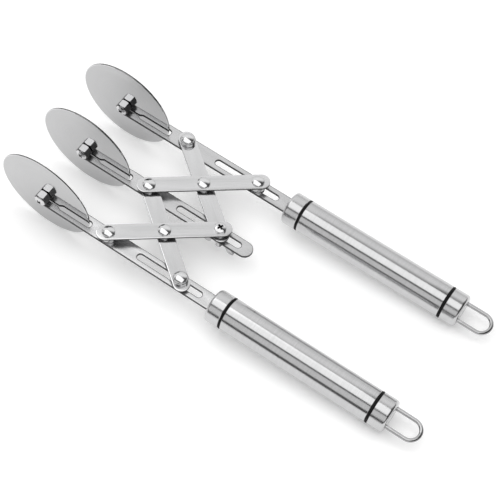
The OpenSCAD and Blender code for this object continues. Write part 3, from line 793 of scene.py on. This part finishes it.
def cap_rows(length, ring):
    """A cap along z: rounded end at 0, groove for the ring from length on, plug behind it."""
    rows = [(0, 0), (GRIP_RADIUS - CAP_ROUND, 0)]
    rows += arc(GRIP_RADIUS - CAP_ROUND, CAP_ROUND, CAP_ROUND, -90, 0, 12)[1:]
    plug_end = length + ring + PLUG_LENGTH
    rows += [(GRIP_RADIUS, length - CAP_BREAK), (GRIP_RADIUS - CAP_BREAK, length),
             (GROOVE_RADIUS, length), (GROOVE_RADIUS, length + ring),
             (PLUG_RADIUS, length + ring), (PLUG_RADIUS, plug_end - PLUG_CUT),
             (PLUG_RADIUS - PLUG_CUT, plug_end), (0, plug_end)]
    return rows


def box_between(low, high):
    mesh = bpy.data.meshes.new("box")
    shell = bmesh.new()
    bmesh.ops.create_cube(shell, size=1)
    shell.to_mesh(mesh)
    shell.free()
    mesh.transform(Matrix.Translation((low + high) / 2) @ Matrix.Diagonal((*(high - low), 1)))
    return mesh


for side in ("left", "right"):
    centre = Vector((front[side].x, 0, -STEM_THICK / 2))
    backwards = Matrix.Translation(centre) @ Matrix.Rotation(math.radians(90), 4, "X")
    forwards = Matrix.Translation(centre) @ Matrix.Rotation(math.radians(-90), 4, "X")
    tube_low, tube_high = span(side + "_grip_tube")
    tube_start, tube_end = -tube_high.y, -tube_low.y
    tube_length = tube_end - tube_start
    bore = GRIP_RADIUS - TUBE_WALL
    walls = [(bore, TUBE_NICK), (bore + TUBE_NICK, 0), (GRIP_RADIUS - TUBE_LIP, 0)]
    walls += arc(GRIP_RADIUS - TUBE_LIP, TUBE_LIP, TUBE_LIP, -90, 0, 4)[1:]
    walls += [(GRIP_RADIUS, TUBE_LIP + (tube_length - 2 * TUBE_LIP) * i / TUBE_ROWS)
              for i in range(1, TUBE_ROWS)]
    walls += arc(GRIP_RADIUS - TUBE_LIP, tube_length - TUBE_LIP, TUBE_LIP, 0, 90, 4)
    walls += [(bore + TUBE_NICK, tube_length), (bore, tube_length - TUBE_NICK), walls[0]]
    settle(side + "_grip_tube", turned(walls, tube_steel, GRIP_STEPS),
           backwards @ Matrix.Translation((0, 0, tube_start)), corner=25)

    front_start = -span(side + "_front_cap")[1].y
    ring_low, ring_high = span(side + "_front_ring")
    ring_half = tube_start + (ring_high.y + ring_low.y) / 2
    ring_width = 2 * ring_half
    front_cap = turned(cap_rows(tube_start - ring_width - front_start, ring_width), cap_steel,
                       GRIP_STEPS)
    stem_end = -span(side + "_stem")[0].y
    tang = box_between(
        Vector((-STEM_WIDTH / 2 - EASY_FIT, -STEM_THICK / 2 - EASY_FIT, -TANG_AHEAD)),
        Vector((STEM_WIDTH / 2 + EASY_FIT, STEM_THICK / 2 + EASY_FIT,
                stem_end - front_start + END_FIT)))
    settle(side + "_front_cap", carved(front_cap, [tang], "DIFFERENCE"),
           backwards @ Matrix.Translation((0, 0, front_start)), corner=25)

    rear_end = -span(side + "_rear_cap")[0].y
    rear_cap = turned(cap_rows(rear_end - tube_end - ring_width, ring_width), cap_steel,
                      GRIP_STEPS)
    mouth, fit, leg_end = WIRE_RADIUS + MOUTH_WIDE, WIRE_RADIUS + EASY_FIT, LEG_DEPTH + END_FIT
    leg_rows = [(0, -LEG_AHEAD), (mouth, -LEG_AHEAD), (mouth, MOUTH_FROM), (fit, MOUTH_TO),
                (fit, leg_end), (0, leg_end)]
    legs = []
    for way in (1, -1):
        leg = turned(leg_rows, cap_steel, segments=32)
        leg.transform(Matrix.Translation((way * LOOP_HALF, 0, 0)))
        legs.append(leg)
    settle(side + "_rear_cap", carved(rear_cap, legs, "DIFFERENCE"),
           forwards @ Matrix.Translation((0, 0, -rear_end)), corner=25)

    for name, place in (("_front_ring", tube_start - ring_half),
                        ("_rear_ring", tube_end + ring_half)):
        circle = arc(RING_CENTRE, place, RING_RADIUS, 0, 360, 28)
        settle(side + name, turned(circle, ring_rubber, GRIP_STEPS), backwards, corner=40)

    loop_end = -span(side + "_hang_loop")[0].y
    bend = loop_end - WIRE_RADIUS - LOOP_HALF
    leg_start = rear_end - LEG_DEPTH
    straight = [leg_start + (bend - leg_start) * i / 10 for i in range(10)]
    path = [(LOOP_HALF, 0, s) for s in straight]
    path += [(x, 0, y) for x, y in arc(0, bend, LOOP_HALF, 0, 180, 40)]
    path += [(-LOOP_HALF, 0, s) for s in reversed(straight)]
    line = bpy.data.meshes.new("route")
    line.from_pydata(path, [(i, i + 1) for i in range(len(path) - 1)], [])
    settle(side + "_hang_loop", grow(line, wire_tree, loop_steel, Radius=WIRE_RADIUS),
           backwards, corner=40)

# Table and studio
# A plain white table, a rectangular soft box overhead, a low white card on the left and a bright
# wall on the far side. The rest of the room is dim, which gives the steel its dark streaks.
TABLE_HALF, TABLE_WHITE, TABLE_GLOW = 4, 0.89, 0.19
floor_mesh = bpy.data.meshes.new("table")
floor_mesh.from_pydata([(-TABLE_HALF, -TABLE_HALF, 0), (TABLE_HALF, -TABLE_HALF, 0),
                        (TABLE_HALF, TABLE_HALF, 0), (-TABLE_HALF, TABLE_HALF, 0)], [],
                       [(0, 1, 2, 3)])
floor = bpy.data.objects.new("table", floor_mesh)
bpy.context.scene.collection.objects.link(floor)
floor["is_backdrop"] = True
white = bpy.data.materials.new("white_table")
white.use_nodes = True
tree = white.node_tree
table_shader = tree.nodes["Principled BSDF"]
table_shader.inputs["Base Color"].default_value = (TABLE_WHITE, TABLE_WHITE, TABLE_WHITE, 1)
table_shader.inputs["Roughness"].default_value = 0.9
table_shader.inputs["Specular IOR Level"].default_value = 0
rays = tree.nodes.new("ShaderNodeLightPath").outputs
seen = calc(tree, "MAXIMUM", rays["Is Camera Ray"],
            calc(tree, "MAXIMUM", rays["Is Glossy Ray"], rays["Is Transmission Ray"]))
glow = step(tree, "ShaderNodeEmission", {"Strength": calc(tree, "MULTIPLY", seen, TABLE_GLOW)})
both = step(tree, "ShaderNodeAddShader", {0: table_shader.outputs[0], 1: glow.outputs[0]})
tree.links.new(both.outputs[0], tree.nodes["Material Output"].inputs["Surface"])
floor_mesh.materials.append(white)

FAR_SIDE, LEFT_SIDE = Vector((0.829, 0.559, 0)), Vector((-0.559, 0.829, 0))
ROOM_DIM, ROOM_BRIGHT, ROOM_SHARE, CEILING = 0.1, 0.95, 0.5, 1.1
WALL_FROM, WALL_TO = 0.1, 0.55
END_FROM, END_TO = -0.98, -0.7
WALL_FOOT, WALL_RISE = 0.7, 0.6
world = bpy.data.worlds.new("studio")
bpy.context.scene.world = world
world.use_nodes = True
tree = world.node_tree
towards = tree.nodes.new("ShaderNodeTexCoord").outputs["Generated"]
facing = step(tree, "ShaderNodeVectorMath", {0: towards, 1: FAR_SIDE},
              operation="DOT_PRODUCT").outputs["Value"]
wall = step(tree, "ShaderNodeMapRange",
            {"Value": facing, "From Min": WALL_FROM, "From Max": WALL_TO, "To Min": 0,
             "To Max": ROOM_BRIGHT},
            interpolation_type="SMOOTHSTEP").outputs[0]
sideways = step(tree, "ShaderNodeVectorMath", {0: towards, 1: LEFT_SIDE},
                operation="DOT_PRODUCT").outputs["Value"]
end = step(tree, "ShaderNodeMapRange",
           {"Value": sideways, "From Min": END_FROM, "From Max": END_TO},
           interpolation_type="SMOOTHSTEP").outputs[0]
tall = step(tree, "ShaderNodeMapRange",
            {"Value": parts_of(tree, towards)[2], "From Min": 0, "From Max": WALL_RISE,
             "To Min": WALL_FOOT, "To Max": 1}).outputs[0]
room = calc(tree, "ADD",
            calc(tree, "MULTIPLY", calc(tree, "MULTIPLY", wall, tall), end), ROOM_DIM)
rays = tree.nodes.new("ShaderNodeLightPath").outputs
above = calc(tree, "MAXIMUM", parts_of(tree, towards)[2], 0)
ceiling = calc(tree, "MULTIPLY", calc(tree, "POWER", above, 2), CEILING)
fill = calc(tree, "ADD", ceiling, calc(tree, "MULTIPLY", room, ROOM_SHARE))
filled = step(tree, "ShaderNodeMix",
              {"Factor": rays["Is Diffuse Ray"], "A": room, "B": fill}).outputs[0]
level = step(tree, "ShaderNodeMix",
             {"Factor": rays["Is Camera Ray"], "A": filled, "B": 1.0}).outputs[0]
tree.links.new(level, tree.nodes["Background"].inputs["Strength"])
tree.nodes["Background"].inputs["Color"].default_value = (1, 1, 1, 1)


def soft_box(name, place, aim, width, depth, radiance, on_table=True):
    """A soft light whose face has the given radiance; a card only shows in the steel."""
    lamp = bpy.data.lights.new(name, "AREA")
    lamp.shape, lamp.size, lamp.size_y = "RECTANGLE", width, depth
    lamp.energy = radiance * math.pi * width * depth
    rig = bpy.data.objects.new(name, lamp)
    bpy.context.scene.collection.objects.link(rig)
    turn = (Vector(aim) - Vector(place)).to_track_quat("-Z", "Y").to_matrix().to_4x4()
    rig.matrix_world = Matrix.Translation(place) @ turn
    rig.visible_camera, rig.visible_diffuse = False, on_table


soft_box("overhead", (-0.081, 0.0466, 0.574), (-0.081, 0.0466, 0), width=0.462, depth=0.9,
         radiance=1.38)
soft_box("left_card", (-0.302, 0, 0.238), (0, 0, 0.238), width=0.7, depth=0.276, radiance=0.75,
         on_table=False)

# Camera
# A long lens from above and in front of the left grip, at the photograph's angle.
LENS_PIXELS, SHOT_PIXELS, SENSOR = 1372, 500, 36
AZIMUTH, ELEVATION = math.radians(-56.02), math.radians(59.12)
DISTANCE, ACROSS, UPWARDS = 799.9, -58.82, 35.3
shot_right = Vector((math.cos(AZIMUTH), math.sin(AZIMUTH), 0))
shot_back = Vector((math.sin(AZIMUTH) * math.cos(ELEVATION),
                    -math.cos(AZIMUTH) * math.cos(ELEVATION), math.sin(ELEVATION)))
shot_up = shot_back.cross(shot_right)
lens = bpy.data.cameras.new("camera")
lens.sensor_width = SENSOR
lens.lens = LENS_PIXELS * SENSOR / SHOT_PIXELS
lens.clip_start, lens.clip_end = 0.01, 20
camera = bpy.data.objects.new("camera", lens)
bpy.context.scene.collection.objects.link(camera)
stand = (Vector(joints["spread"]["pos_m"])
         + (shot_back * DISTANCE - shot_right * ACROSS - shot_up * UPWARDS) * MM)
camera.matrix_world = (Matrix.Translation(stand)
                       @ Matrix((shot_right, shot_up, shot_back)).transposed().to_4x4())
bpy.context.scene.camera = camera
bpy.context.scene.view_settings.view_transform = "Standard"

low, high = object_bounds()
